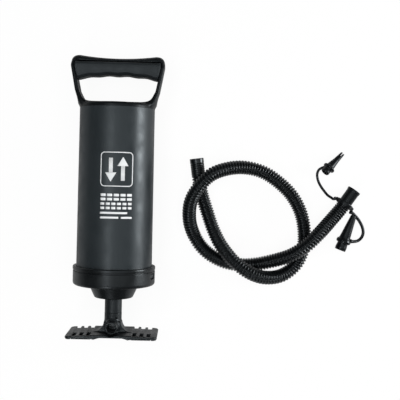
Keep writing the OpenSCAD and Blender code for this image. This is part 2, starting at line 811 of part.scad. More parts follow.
hose_points = [for (p = hose_route) [p.x, p.y, p.z + hose_r]];
hose_first_lead = hose_points[0] + end_lead * [-sin(cuff_turn), cos(cuff_turn), 0];
hose_last_lead = sleeve_at + end_lead * [cos(sleeve_turn), sin(sleeve_turn), 0];

module hose_tube() color(rubber_black)
    swept_tube(with_leads(hose_points, hose_first_lead, hose_last_lead), hose_r, hose_rings, hose_sides);

module hose_cuff() color(rubber_black) translate(hose_points[0]) rotate([-90, 0, cuff_turn])
    pipe(hose_r, cuff_bore_r, 0, cuff_len);

// Puts a part on the sleeve's axis, with +Z towards the sleeve's mouth
module on_sleeve() {
    translate(sleeve_at) rotate([0, 90, sleeve_turn]) children();
}

module hose_sleeve() color(rubber_black) on_sleeve() pipe(sleeve_r, sleeve_bore_r, 0, sleeve_len);

module tether_ring() color(rubber_black) on_sleeve() difference() {
    union() {
        post(tether_ring_r, tether_ring_at - tether_ring_w / 2, tether_ring_at + tether_ring_w / 2);
        translate([-tether_lug_t / 2, -tether_lug_reach, tether_ring_at - tether_lug_w / 2])
            cube([tether_lug_t, 2 * tether_lug_reach, tether_lug_w]);
    }
    post(sleeve_r, -cut, sleeve_len);
}

module strap_small() color(rubber_black)
    swept_tube(plain_leads(strap_small_route), small_strap_r, strap_rings, strap_sides);

module strap_large() color(rubber_black)
    swept_tube(plain_leads(strap_large_route), large_strap_r, strap_rings, strap_sides);

module nozzle_small() color(rubber_black)
    translate(small_at) rotate([0, 90 + small_rest_tilt, small_turn]) difference() {
        union() {
            cylinder(r = small_plug_r, h = small_plug_len);
            post(small_flange_r, small_plug_len, small_flange_top);
            translate([0, 0, small_flange_top])
                cylinder(r1 = small_cone_r, r2 = small_neck_r, h = small_neck_at - small_flange_top);
            translate([0, 0, small_neck_at])
                cylinder(r1 = small_neck_r, r2 = small_tip_r, h = small_len - small_neck_at);
        }
        post(small_plug_bore_r, -cut, small_flange_top);
        post(small_bore_r, 0, small_len + cut);
        translate([-small_flange_r, -small_slit_w / 2, small_len - small_slit_len])
            cube([2 * small_flange_r, small_slit_w, small_slit_len + cut]);
    }

module nozzle_large() color(rubber_black)
    translate(large_at) rotate([0, 90, large_turn]) difference() {
        union() {
            cylinder(r = large_plug_r, h = large_plug_len);
            post(large_flange_r, large_plug_len, large_flange_top);
            translate([0, 0, large_flange_top])
                cylinder(r1 = large_cone_r, r2 = large_tip_r, h = large_len - large_flange_top);
        }
        post(large_plug_bore_r, -cut, large_flange_top);
        post(large_tip_bore_r, 0, large_len + cut);
    }

barrel();
handle_frame();
grip_front();
grip_rear();
grip_screws();
end_cap();
cap_gasket();
rod_bush();
rod_seal();
seal_retainer();
retainer_screws();
top_bumper();
bottom_bumper();
piston_ring();
piston_lower();
piston_divider();
piston_upper();
piston_screws();
upper_inlet_flap();
upper_outlet_flap();
lower_inlet_flap();
lower_outlet_flap();
rod_outer_tube();
rod_inner_tube();
foot();
lock_pin();
hose_tube();
hose_cuff();
hose_sleeve();
tether_ring();
strap_small();
strap_large();
nozzle_small();
nozzle_large();
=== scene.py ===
"""Looks of the hand pump, its hose and its nozzles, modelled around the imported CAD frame."""

import json
import math

import bmesh
import bpy
import numpy as np
from mathutils import Matrix, Vector


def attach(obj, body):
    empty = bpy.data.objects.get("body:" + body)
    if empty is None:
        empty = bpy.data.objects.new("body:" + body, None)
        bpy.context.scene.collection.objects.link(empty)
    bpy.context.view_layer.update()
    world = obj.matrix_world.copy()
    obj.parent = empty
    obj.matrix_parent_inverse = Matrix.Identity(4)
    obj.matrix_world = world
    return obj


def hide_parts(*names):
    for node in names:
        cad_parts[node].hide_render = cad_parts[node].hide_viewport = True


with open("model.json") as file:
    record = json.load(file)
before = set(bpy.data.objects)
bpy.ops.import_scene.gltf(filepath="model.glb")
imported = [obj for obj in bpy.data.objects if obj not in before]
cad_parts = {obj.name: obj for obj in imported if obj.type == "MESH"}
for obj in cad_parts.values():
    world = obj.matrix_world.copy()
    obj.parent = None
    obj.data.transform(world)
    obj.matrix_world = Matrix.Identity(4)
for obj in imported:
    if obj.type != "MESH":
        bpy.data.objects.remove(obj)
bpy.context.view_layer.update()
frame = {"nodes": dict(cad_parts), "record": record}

MM = 0.001
SCALE = Matrix.Scale(MM, 4)


# ---- Where things are ----

def pump_place():
    """From a standing pump, sole at 0, axis +Z and front -Y, in mm, to the row frame."""
    sole = next(m for m in frame["record"]["mounts"] if m["name"] == "foot_sole")
    up = -Vector(sole["axis"])
    back = up.cross(Vector((1, 0, 0)))
    turn = Matrix(((1, back.x, up.x), (0, back.y, up.y), (0, back.z, up.z))).to_4x4()
    at = Vector((0, sole["pos_m"][1], sole["pos_m"][2]))
    return Matrix.Translation(at) @ turn @ SCALE


def lying_place(at, tilt, turn):
    """For a part that lies down: its own +Z runs level towards `turn`, tipped down by `tilt`."""
    heading = Matrix.Rotation(math.radians(turn), 4, "Z")
    tipped = Matrix.Rotation(math.radians(90 + tilt), 4, "Y")
    return Matrix.Translation(Vector(at) * MM) @ heading @ tipped @ SCALE


PUMP = pump_place()

# ---- Sizes, in mm ----

# Hose: its radius, the CAD's centre line as (x, y, how far it is lifted off the floor), its ribs
HOSE_R = 9.3
HOSE_ROUTE = [
    (106.7, 27.3, 0), (111.5, 3.7, 0), (119.3, -19.9, 0), (128, -43.6, 2), (139.6, -65.2, 9),
    (156.1, -84, 18), (175.5, -97.7, 20), (197.8, -105.6, 13), (222, -103.7, 4), (241.4, -88.9, 0),
    (251.1, -65.2, 0), (251.1, -40.6, 0), (245.3, -17, 0), (232.7, 4.7, 0), (215.2, 21.4, 0),
    (194.9, 34.2, 0), (171.6, 40.2, 2), (148.4, 39.2, 9), (125.1, 31.3, 17), (108.6, 15.5, 20),
    (97, -6.1, 15), (96, -31.8, 6), (103.8, -54.4, 0), (118.3, -73.1, 0), (139.6, -85.9, 0),
    (162.9, -90.9, 0), (186.1, -89.9, 0), (209.4, -84, 5), (231.7, -75.1, 14), (251.1, -61.3, 20),
    (268.5, -44.6, 17), (285, -27.8, 8), (301.5, -9.1, 2),
]
HOSE_SIDES = 26
RIB_PITCH = 3.75
RIB_PITCH_SWING = 0.2
RIB_SWING_FROM = 180
RIB_SWING_LEN = 260
RIB_POINTS = 6
RIB_PROUD = 0.1
RIB_DEPTH = 2.2
RIB_POWER = 1.9
END_LEAD = 25

# Ends of the hose, with the way each one points, in degrees
CUFF_TURN = 8
CUFF_LEN = 24
CUFF_BORE_R = 7.75
CUFF_RIBS = 6
CUFF_RIB_FIRST = 2.4
CUFF_RIB_PITCH = 2.9
SLEEVE_TURN = 56
SLEEVE_AT = (301.5, -9.1, 11.3)
SLEEVE_LEN = 28
SLEEVE_R = 9.2
SLEEVE_BORE_R = 7.6

# Tether ring, at its station along the sleeve
RING_STATION = 5
RING_R = 11.1
RING_HALF = 3
LUG_TIP = 14.5
LUG_HALF = 2.3

# Straps and nozzles
STRAP_SMALL_ROUTE = [
    (292.7, 2.8, 11.3), (289.2, 1.3, 10.8), (286.3, 3.2, 8.8), (282.5, 5.9, 5), (277.5, 11.9, 2),
    (272.5, 18.9, 1.5), (269.5, 24.9, 1.5), (268, 30.9, 1.5), (268, 35.9, 2), (270, 40.4, 3),
    (274, 42.9, 4.5), (277.5, 43.4, 5.5),
]
STRAP_LARGE_ROUTE = [
    (313.5, -15.6, 10), (316, -17.1, 7.5), (319.5, -19.6, 4.2), (324.5, -24.6, 2.5),
    (329.2, -31.1, 2), (332.5, -38.1, 2), (333.4, -45.1, 2), (331.1, -51.1, 2.5), (326, -55.1, 4.5),
    (319.5, -56.1, 7.5), (314.5, -55.6, 9),
]
STRAP_SMALL_R, STRAP_SMALL_FLAT = 1.9, 0.78
STRAP_LARGE_R, STRAP_LARGE_FLAT = 2.3, 0.8
LARGE_FLANGE_R = 10
LARGE_AT = (300.8, -67.7, LARGE_FLANGE_R)
LARGE_TURN = 70
SMALL_FLANGE_R = 8.5
SMALL_FLANGE_Z = 11
SMALL_LEN = 38
SMALL_PLUG_R = 5.6
SMALL_PLUG_LEN = 10
SMALL_BORE_R = 1.8
SMALL_SLIT_FROM = 32
SMALL_TURN = 46
SMALL_TILT = math.degrees(math.atan(5.7 / 27))
SMALL_AT = (275.8, 36.4,
            SMALL_FLANGE_R * math.cos(math.radians(SMALL_TILT))
            + SMALL_FLANGE_Z * math.sin(math.radians(SMALL_TILT)))

# Barrel: it tapers from the cap up to its closed head
BARREL_LOW, CAP_TOP, HEAD_LOW, BARREL_TOP = 74, 91, 290, 292
BARREL_LOW_R, BARREL_HIGH_R = 48.5, 47.7
BARREL_BORE_R = 45.2
BARREL_SIDES = 192
LUG_SIZE = (10, 4.4, 5)
LUG_AT = (0, -49.4, 79.5)
LUG_EDGE = 0.6

# Handle: the head's top, the rail's top edge, and the levels that the arms are drawn at
HEAD_TOP = 297.5
RAIL_TOP, RAIL_DIP, RAIL_HALF = 358.8, 3.4, 48
ARM_LOW, ARM_TOP = 314, 346
GRIP_DEPTH = 15.1
GRIP_TOP = 350.4
GRIP_SPLIT = 0.04
GRIP_SCREWS_AT = (-36, 0, 36)
GRIP_SCREW_Z = 344

# End cap and its bayonet windows
COLLAR_R = 52.6
CAP_BORE_R = 48.62
WINDOW_AZ = 74
WINDOW_HALF = 6.75
WINDOW_LOW, WINDOW_HIGH = 75.8, 83.2
CAP_SIDES = 160

# Rod and lock pin
ROD_R, ROD_BORE_R = 11, 9
ROD_LOW, ROD_TOP = 20, 266
ROD_PLUG_R, ROD_PLUG_BORE_R = 9.4, 7.6
PIN_Z = 24.2
PIN_TURN = 29

# Foot
FOOT_HALF_W, FOOT_HALF_D, FOOT_CORNER = 58, 31, 6
WEB_HALF_W, WEB_HALF_D = 24.5, 9.5
WING_TOP, WING_FALL = 5.8, 1.6
GROOVES_AT = (29, 38, 47)
GROOVE_HALF = 2.7
GROOVE_FLOOR = 4.9
SLOT_HALF = 2.2
SLOT_Y, SLOT_HALF_LEN = -17, 10
SLOT_FLOOR = 1.2
NOTCH_FROM = 23
SOCKET_R = 11.1
PORT_Z = 13.6
PORT_R, PORT_BORE_R, PORT_END = 7.8, 5.8, 3.5
PORT_COLLAR_R, PORT_COLLAR_END = 9.2, 12.4


# ---- Camera ----

# In metres, the roll in radians and the lens and its sensor in millimetres
EYE = Vector((0.090, 0.0522, 0.9991))
AIM = Vector((0.1086, -0.0023, 0.050))
ROLL = 0.026
LENS, SENSOR = 66.27, 36


def make_camera():
    """The camera looks from EYE to AIM, rolled a little."""
    ahead = (AIM - EYE).normalized()
    level = ahead.cross(Vector((0, 1, 0))).normalized()
    rise = level.cross(ahead)
    right = level * math.cos(ROLL) + rise * math.sin(ROLL)
    up = rise * math.cos(ROLL) - level * math.sin(ROLL)
    data = bpy.data.cameras.new("camera")
    data.sensor_width, data.lens = SENSOR, LENS
    camera = bpy.data.objects.new("camera", data)
    camera.matrix_world = Matrix.Translation(EYE) @ Matrix((right, up, -ahead)).transposed().to_4x4()
    bpy.context.scene.collection.objects.link(camera)
    bpy.context.scene.camera = camera


make_camera()


# ---- Materials ----

# Sizes of the marks on the plastic, in mm, and the tint of its shine
CLOUD_SIZE = 42
PATCH_SIZE = 16
SCUFF_SIZE = 2.2
SCUFF_STRETCH = (1, 0.08, 1)
COOL_SHINE = (0.86, 0.95, 1, 1)
COAT_ROUGHNESS = 0.25
GRAIN_DEPTH = 0.04 * MM


def node_of(tree, kind, **values):
    """A new shader node, with its settings and its sockets given by name."""
    node = tree.nodes.new(kind)
    for name, value in values.items():
        if hasattr(node, name):
            setattr(node, name, value)
        else:
            node.inputs[name.replace("_", " ")].default_value = value
    return node


def moulded(name, colour, rough, grain=0.25, grain_size=0.6, tone=0.25, rough_spread=0.08,
            specular=0.5, coat=0.0, metal=0.0, scuff=0.0):
    """Moulded plastic, rubber or metal: uneven tone, patchy gloss, fine grain and a few scuffs.
    Sizes are in mm, tone is the share by which the colour varies."""
    material = bpy.data.materials.new(name)
    material.use_nodes = True
    tree = material.node_tree
    link = tree.links.new
    shader = tree.nodes["Principled BSDF"]
    shader.inputs["Metallic"].default_value = metal
    shader.inputs["Specular IOR Level"].default_value = specular
    shader.inputs["Specular Tint"].default_value = COOL_SHINE
    shader.inputs["Coat Weight"].default_value = coat
    shader.inputs["Coat Roughness"].default_value = COAT_ROUGHNESS
    place = node_of(tree, "ShaderNodeTexCoord").outputs["Object"]

    def noise(size, detail, stretch=(1, 1, 1)):
        mapping = node_of(tree, "ShaderNodeMapping")
        mapping.inputs["Scale"].default_value = stretch
        link(place, mapping.inputs["Vector"])
        found = node_of(tree, "ShaderNodeTexNoise", Scale=1 / (size * MM), Detail=detail)
        link(mapping.outputs["Vector"], found.inputs["Vector"])
        return found.outputs["Fac"]

    def ranged(value, low, high, to_low, to_high):
        found = node_of(tree, "ShaderNodeMapRange")
        for slot_name, amount in zip(("From Min", "From Max", "To Min", "To Max"),
                                     (low, high, to_low, to_high)):
            found.inputs[slot_name].default_value = amount
        link(value, found.inputs["Value"])
        return found.outputs["Result"]

    mix = node_of(tree, "ShaderNodeMix", data_type="RGBA")
    link(ranged(noise(CLOUD_SIZE, 3), 0.3, 0.7, 0, 1), mix.inputs["Factor"])
    mix.inputs["A"].default_value = (*[c * (1 - tone) for c in colour], 1)
    mix.inputs["B"].default_value = (*[c * (1 + tone) for c in colour], 1)
    tint = mix.outputs["Result"]
    speck = noise(grain_size * 1.6, 2)
    roughness = node_of(tree, "ShaderNodeMath", operation="ADD")
    patches = ranged(noise(PATCH_SIZE, 4), 0.3, 0.7, rough - rough_spread, rough + rough_spread)
    link(patches, roughness.inputs[0])
    link(ranged(speck, 0.3, 0.7, -rough_spread / 3, rough_spread / 3), roughness.inputs[1])
    if scuff:
        marks = ranged(noise(SCUFF_SIZE, 5, SCUFF_STRETCH), 0.64, 0.74, 0, scuff)
        worn = node_of(tree, "ShaderNodeMix", data_type="RGBA")
        link(marks, worn.inputs["Factor"])
        link(tint, worn.inputs["A"])
        worn.inputs["B"].default_value = (*[min(1, c * 1.9 + 0.01) for c in colour], 1)
        tint = worn.outputs["Result"]
    link(tint, shader.inputs["Base Color"])
    link(roughness.outputs[0], shader.inputs["Roughness"])
    bump = node_of(tree, "ShaderNodeBump", Strength=grain, Distance=GRAIN_DEPTH)
    link(noise(grain_size, 3), bump.inputs["Height"])
    link(bump.outputs["Normal"], shader.inputs["Normal"])
    return material


GRAPHITE = moulded("graphite_plastic", (0.0165, 0.0212, 0.0240), 0.40, grain=0.35, grain_size=0.7,
                   tone=0.07, scuff=0.10)
# The handle is the barrel's graphite painted darker, as painted shade for the rail that turns away from
# the lamps.
HANDLE_SHADED = moulded("handle_plastic_painted_shade", (0.0042, 0.0053, 0.0060), 0.36, grain=0.35, grain_size=0.7,
                 tone=0.1, specular=0.22)
COLLAR = moulded("collar_plastic", (0.0038, 0.0046, 0.0052), 0.32, grain=0.35, grain_size=0.7,
                 tone=0.08, scuff=0.08)
BLACK = moulded("black_plastic", (0.0070, 0.0085, 0.0095), 0.38, grain=0.4, grain_size=0.8, tone=0.1,
                scuff=0.12)
GRIP = moulded("grip_plastic", (0.0105, 0.0130, 0.0145), 0.52, grain=0.9, grain_size=0.9, tone=0.08)
HOSE = moulded("hose_plastic", (0.0016, 0.0021, 0.0025), 0.27, grain=0.1, grain_size=0.5, tone=0.15,
               specular=0.55, coat=0.15)
NOZZLE = moulded("nozzle_plastic", (0.0024, 0.0030, 0.0035), 0.33, grain=0.3, grain_size=0.5,
                 tone=0.12, scuff=0.08, specular=0.4)
RUBBER = moulded("seal_rubber", (0.012, 0.012, 0.012), 0.62, grain=0.5, grain_size=0.4, tone=0.15)
NYLON = moulded("inner_nylon", (0.16, 0.175, 0.18), 0.45, grain=0.3, grain_size=0.6, tone=0.06)
STEEL = moulded("screw_steel", (0.42, 0.42, 0.43), 0.28, grain=0.3, grain_size=0.15, tone=0.08,
                metal=1.0)
INK = moulded("print_ink", (0.78, 0.80, 0.81), 0.5, grain=0.2, grain_size=0.3, tone=0.05)


# ---- Mesh helpers ----

# A profile's bend flatter than this, in radians to its bisector, is left as it is
STRAIGHT = 1.55
# A side longer than LONG_SIDE gets a point HELD mm from each end, so that its shading stays flat
LONG_SIDE, HELD = 2.5, 0.8


def piece(name, points, faces, skin, slot, body="barrel", replaced=(), place=PUMP, after=None):
    """A smooth piece from points in mm. `after` may work on its bmesh, in mm, before it is placed."""
    mesh = bpy.data.meshes.new(name)
    mesh.from_pydata([tuple(map(float, p)) for p in points], [], [list(map(int, f)) for f in faces])
    work = bmesh.new()
    work.from_mesh(mesh)
    if after:
        after(work)
    bmesh.ops.recalc_face_normals(work, faces=work.faces)
    work.to_mesh(mesh)
    work.free()
    mesh.transform(place)
    mesh.shade_smooth()
    mesh.materials.append(skin)
    made = bpy.data.objects.new(name, mesh)
    bpy.context.scene.collection.objects.link(made)
    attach(made, body)
    if replaced:
        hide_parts(*replaced)
    return made


def rounded(corners, steps=5, loop=True):
    """A profile whose corners (r, z, radius) are rounded, with a point near each end of a long side."""
    count = len(corners)
    out = []
    for i, (r, z, radius) in enumerate(corners):
        here = np.array((r, z), float)
        if not loop and i in (0, count - 1):
            out.append(here)
            continue
        before = np.array(corners[i - 1][:2], float) - here
        after = np.array(corners[(i + 1) % count][:2], float) - here
        lengths = np.linalg.norm(before), np.linalg.norm(after)
        before, after = before / lengths[0], after / lengths[1]
        half = math.acos(max(-1, min(1, float(before @ after)))) / 2
        if radius <= 0 or half > STRAIGHT:
            out.append(here)
            continue
        reach = min(radius / math.tan(half), 0.48 * min(lengths))
        start, end = here + before * reach, here + after * reach
        for k in range(steps + 1):
            t = k / steps
            out.append((1 - t) ** 2 * start + 2 * t * (1 - t) * here + t * t * end)
    held = []
    last = len(out) if loop else len(out) - 1
    for i in range(len(out)):
        held.append(out[i])
        if i < last:
            a, b = out[i], out[(i + 1) % len(out)]
            length = np.linalg.norm(b - a)
            if length > LONG_SIDE:
                near = min(HELD, length / 4) / length
                held += [a + (b - a) * near, b + (a - b) * near]
    return held


def lathe(profile, sides=128, start=0.0, loop=True):
    """A turned shape. A profile that isn't a loop starts and ends on the axis."""
    angles = [math.radians(start) + 2 * math.pi * k / sides for k in range(sides)]
    points, faces = [], []
    ring = profile if loop else profile[1:-1]
    for r, z in ring:
        points += [(r * math.sin(a), -r * math.cos(a), z) for a in angles]
    rows = len(ring)
    for j in range(rows if loop else rows - 1):
        a, b = j * sides, (j + 1) % rows * sides
        faces += [(a + k, a + (k + 1) % sides, b + (k + 1) % sides, b + k) for k in range(sides)]
    if not loop:
        for end, row in ((profile[0], 0), (profile[-1], rows - 1)):
            points.append((0, 0, end[1]))
            top = len(points) - 1
            faces += [(row * sides + k, row * sides + (k + 1) % sides, top) for k in range(sides)]
    return points, faces


def spline(points, first, last, step=0.02):
    """Dense points of the CAD's smooth curve through `points`, with its two lead points."""
    route = np.array([first, *points, last], float)
    out = []
    for i in range(len(points) - 1):
        a, b, c, d = route[i:i + 4]
        for t in np.arange(0, 1, step):
            out.append(0.5 * (2 * b + (c - a) * t + (2 * a - 5 * b + 4 * c - d) * t * t
                              + (3 * b - a - 3 * c + d) * t ** 3))
    out.append(route[-2])
    return np.array(out)


def travel(points):
    """Length along a line at each of its points."""
    return np.concatenate([[0], np.cumsum(np.linalg.norm(np.diff(points, axis=0), axis=1))])


def at_lengths(points, lengths):
    """The places on a line at the given lengths along it."""
    along = travel(points)
    return np.stack([np.interp(lengths, along, points[:, i]) for i in range(3)], axis=1)


def sweep(points, radii, sides, flat=1.0):
    """A closed tube round a line that never runs upright. `flat` squeezes it in height."""
    ahead = np.gradient(points, axis=0)
    ahead /= np.linalg.norm(ahead, axis=1)[:, None]
    side = np.cross(ahead, (0, 0, 1))
    side /= np.linalg.norm(side, axis=1)[:, None]
    rise = np.cross(side, ahead)
    turns = np.arange(sides) * 2 * math.pi / sides
    rings = (points[:, None, :] + radii[:, None, None] * (
        np.cos(turns)[None, :, None] * side[:, None, :]
        + flat * np.sin(turns)[None, :, None] * rise[:, None, :]))
    count = len(points)
    faces = [(j * sides + k, j * sides + (k + 1) % sides, (j + 1) * sides + (k + 1) % sides,
              (j + 1) * sides + k) for j in range(count - 1) for k in range(sides)]
    faces.append(tuple(reversed(range(sides))))
    faces.append(tuple((count - 1) * sides + k for k in range(sides)))
    return rings.reshape(-1, 3), faces


# ---- Shapes from distance fields ----

def smin(a, b, k):
    """The lesser of two fields, with a fillet where they meet."""
    h = np.maximum(k - np.abs(a - b), 0) / k
    return np.minimum(a, b) - h * h * k / 4


def smax(a, b, k):
    """The greater of two fields, with a rounded edge where they meet."""
    return -smin(-a, -b, k)


def field_slope(field, points, reach=0.02):
    """The field's slope in x, y and z at each point."""
    slope = np.empty_like(points)
    for i in range(3):
        step = np.zeros(3)
        step[i] = reach
        slope[:, i] = (field(*(points + step).T) - field(*(points - step).T)) / (2 * reach)
    return slope


def settle(field, points, limit, rounds):
    """Moves points onto the field's zero level."""
    for _ in range(rounds):
        value, slope = field(*points.T), field_slope(field, points)
        move = slope * (value / np.maximum((slope ** 2).sum(1), 0.05))[:, None]
        size = np.linalg.norm(move, axis=1)
        points = points - move * np.minimum(1, limit / np.maximum(size, 1e-9))[:, None]
    return points


def net(field, low, high, cell):
    """Quads over the zero level of a field: one point in each mixed cell, settled on the surface."""
    low = np.array(low, float)
    counts = np.ceil((np.array(high, float) - low) / cell).astype(int) + 1
    axes = [low[i] + cell * np.arange(counts[i]) for i in range(3)]
    inside = field(*np.meshgrid(*axes, indexing="ij")) < 0
    halves = (slice(None, -1), slice(1, None))
    corners = [inside[a, b, c] for a in halves for b in halves for c in halves]
    mixed = np.logical_or.reduce(corners) & ~np.logical_and.reduce(corners)
    number = np.full(mixed.shape, -1)
    number[mixed] = np.arange(mixed.sum())
    points = low + (np.argwhere(mixed) + 0.5) * cell
    quads = []
    for axis in range(3):
        u, v = (axis + 1) % 3, (axis + 2) % 3
        lower = np.take(inside, range(counts[axis] - 1), axis)
        upper = np.take(inside, range(1, counts[axis]), axis)
        at = np.argwhere(lower != upper)
        at = at[(at[:, u] > 0) & (at[:, v] > 0)
                & (at[:, u] < counts[u] - 1) & (at[:, v] < counts[v] - 1)]
        cells = []
        for du, dv in ((1, 1), (0, 1), (0, 0), (1, 0)):
            moved = at.copy()
            moved[:, u] -= du
            moved[:, v] -= dv
            cells.append(number[tuple(moved.T)])
        quad = np.stack(cells, axis=1)
        flip = ~lower[tuple(at.T)]
        quad[flip] = quad[flip][:, ::-1]
        quads.append(quad)
    faces = np.concatenate(quads)
    points = settle(field, points, cell * 0.7, 5)
    for _ in range(2):
        total, share = np.zeros_like(points), np.zeros(len(points))
        for k in range(4):
            for other in (1, 3):
                np.add.at(total, faces[:, k], points[faces[:, (k + other) % 4]])
                np.add.at(share, faces[:, k], 1)
        points = settle(field, 0.5 * points + 0.5 * total / np.maximum(share, 1)[:, None], cell, 3)
    return points, faces


# ---- Hose, ends, straps and nozzles ----

def make_hose():
    """The corrugated hose, its centre line and its length in metres."""
    points = [(x, y, z + HOSE_R) for x, y, z in HOSE_ROUTE]
    cuff, sleeve = math.radians(CUFF_TURN), math.radians(SLEEVE_TURN)
    first = np.array(points[0]) + END_LEAD * np.array((-math.sin(cuff), math.cos(cuff), 0))
    last = np.array(SLEEVE_AT) + END_LEAD * np.array((math.cos(sleeve), math.sin(sleeve), 0))
    line = spline(points, first, last)
    line[:, 2] = np.maximum(line[:, 2], HOSE_R)
    along = travel(line)
    pitch = RIB_PITCH + RIB_PITCH_SWING * np.cos(
        2 * math.pi * (along - RIB_SWING_FROM) / RIB_SWING_LEN)
    ribs = np.concatenate([[0], np.cumsum(np.diff(along) / ((pitch[1:] + pitch[:-1]) / 2))])
    wanted = np.arange(0, int(ribs[-1]) * RIB_POINTS + 1) / RIB_POINTS * ribs[-1] / int(ribs[-1])
    centre = at_lengths(line, np.interp(wanted, ribs, along))
    groove = np.sin(math.pi * wanted * int(ribs[-1]) / ribs[-1]) ** 2
    radii = HOSE_R + RIB_PROUD - RIB_DEPTH * groove ** RIB_POWER
    made = piece("hose_corrugated", *sweep(centre, radii, HOSE_SIDES), HOSE, "hose_plastic",
                 replaced=("hose_tube",), place=SCALE)
    return made, line[::10] * MM, along[-1] * MM


def cuff_place():
    """The cuff's own +Z runs away from the hose's first point, level with its radius."""
    heading = Matrix.Rotation(math.radians(CUFF_TURN), 4, "Z")
    laid = Matrix.Rotation(math.radians(-90), 4, "X")
    at = Vector((*HOSE_ROUTE[0][:2], HOSE_R))
    return Matrix.Translation(at * MM) @ heading @ laid @ SCALE


def make_cuff():
    """The pump end of the hose: a plain socket with fine ribs and a rounded mouth."""
    ribs = []
    for k in range(CUFF_RIBS):
        z = CUFF_RIB_FIRST + CUFF_RIB_PITCH * k
        ribs += [(HOSE_R, z - 0.9, 0.4), (HOSE_R - 0.5, z, 0.3), (HOSE_R, z + 0.9, 0.4)]
    profile = rounded([(CUFF_BORE_R, 0, 0.3), (HOSE_R - 0.3, 0, 0.5), *ribs,
                       (HOSE_R, CUFF_LEN, 0.7), (CUFF_BORE_R, CUFF_LEN, 0.5)], steps=4)
    return piece("hose_cuff_socket", *lathe(profile, 72), HOSE, "hose_plastic",
                 replaced=("hose_cuff",), place=cuff_place())


def make_sleeve():
    """The free end of the hose: a smooth socket with a lip at its mouth."""
    profile = rounded([(SLEEVE_BORE_R, 0, 0.3), (SLEEVE_R - 0.6, 0, 0.5), (SLEEVE_R - 0.5, 8.2, 0.4),
                       (SLEEVE_R - 0.5, 24.2, 0.5), (SLEEVE_R, 25, 0.6), (SLEEVE_R, SLEEVE_LEN, 0.75),
                       (SLEEVE_BORE_R, SLEEVE_LEN, 0.7)], steps=5)
    return piece("hose_sleeve_socket", *lathe(profile, 96), NOZZLE, "hose_plastic",
                 replaced=("hose_sleeve",), place=lying_place(SLEEVE_AT, 0, SLEEVE_TURN))


def ring_field(x, y, z):
    """Tether ring with a tapering lug on each side."""
    round_r = np.hypot(x, y)
    z = z - RING_STATION
    band = smax(smax(round_r - RING_R, SLEEVE_R - 0.65 - round_r, 0.6), np.abs(z) - RING_HALF, 1.4)
    reach = np.abs(y)
    lug = smax(np.abs(x) - np.interp(reach, (9, LUG_TIP), (4.2, 1.5)), np.abs(z) - LUG_HALF, 1.4)
    lug = smax(smax(lug, reach - LUG_TIP, 1.6), 9.6 - reach, 0.6)
    return smin(band, lug, 1.6)


def small_field(x, y, z):
    """Small nozzle: plug, flange, cone and a slit tip of two prongs."""
    round_r = np.hypot(x, y)
    cone = round_r - np.interp(z, (10, 14, 24, SMALL_LEN), (6.0, 5.4, 3.9, 2.8))
    cone = smax(smax(cone, z - SMALL_LEN, 1.6), 9 - z, 0.5)
    bead = 0.25 * np.exp(-((z - 2.2) / 1.2) ** 2)
    plug = smax(smax(round_r - SMALL_PLUG_R - bead, -z, 1.8), z - SMALL_PLUG_LEN, 0.5)
    flange = smax(round_r - SMALL_FLANGE_R, np.abs(z - 9.4) - 1.9, 2.2)
    whole = smin(smin(cone, flange, 2.0), plug, 1.4)
    whole = smax(whole, SMALL_BORE_R - round_r, 0.5)
    whole = smax(whole, -smax(round_r - 4, z - 10.5, 0.8), 0.7)
    slit = smax(np.abs(y) - 0.75, SMALL_SLIT_FROM - z, 0.9)
    return smax(whole, -slit, 0.5)


def make_large_nozzle():
    """Large nozzle: plug, rounded flange and a long cone, with a plain bore."""
    profile = rounded([
        (5.8, 0, 0.8), (7.3, 0, 2.2), (7.6, 4, 1.5), (6.9, 9.8, 1.0), (9.3, 10.6, 1.2),
        (LARGE_FLANGE_R, 13, 1.6), (9.2, 15.6, 1.4), (7.6, 16.4, 1.2), (7.0, 20, 2), (3.75, 50, 1.2),
        (2.6, 50, 0.6), (2.6, 15, 0.4), (5.8, 14, 0.5)], steps=5)
    return piece("nozzle_large_cone", *lathe(profile, 96), NOZZLE, "nozzle_plastic",
                 replaced=("nozzle_large",), place=lying_place(LARGE_AT, 0, LARGE_TURN))


def make_strap(name, route, radius, flat, node):
    """A moulded strap that widens into what it joins at its two ends."""
    first = 2 * np.array(route[0]) - np.array(route[1])
    last = 2 * np.array(route[-1]) - np.array(route[-2])
    line = spline(route, first, last, 0.1)
    length = travel(line)[-1]
    lengths = np.linspace(0, length, 64)
    ends = np.minimum(lengths, length - lengths)
    line = at_lengths(line, lengths)
    radii = radius * (0.93 + 0.42 * np.exp(-(ends / 2.6) ** 2))
    line[:, 2] = np.maximum(line[:, 2], radii * flat * 0.99)
    made = piece(name, *sweep(line, radii, 16, flat), NOZZLE, "nozzle_plastic",
                 replaced=(node,), place=SCALE)
    return made


def make_cords():
    """The hose and the two straps, with the pieces on them."""
    hose, path, length = make_hose()
    cuff, sleeve = make_cuff(), make_sleeve()
    ring = piece("tether_ring_lugged", *net(ring_field, (-13, -16, 0), (13, 16, 10), 0.45), NOZZLE,
                 "nozzle_plastic", replaced=("tether_ring",),
                 place=lying_place(SLEEVE_AT, 0, SLEEVE_TURN))
    large = make_large_nozzle()
    small = piece("nozzle_small_forked", *net(small_field, (-10, -10, -2), (10, 10, 40), 0.42), NOZZLE,
                  "nozzle_plastic", replaced=("nozzle_small",),
                  place=lying_place(SMALL_AT, SMALL_TILT, SMALL_TURN))
    make_strap("strap_small_moulded", STRAP_SMALL_ROUTE, STRAP_SMALL_R, STRAP_SMALL_FLAT,
               "strap_small")
    make_strap("strap_large_moulded", STRAP_LARGE_ROUTE, STRAP_LARGE_R, STRAP_LARGE_FLAT,
               "strap_large")


make_cords()


# ---- Barrel ----

def barrel_r(z):
    """Outer radius of the tapering tube at a height."""
    return float(np.interp(z, (CAP_TOP, HEAD_LOW), (BARREL_LOW_R, BARREL_HIGH_R)))


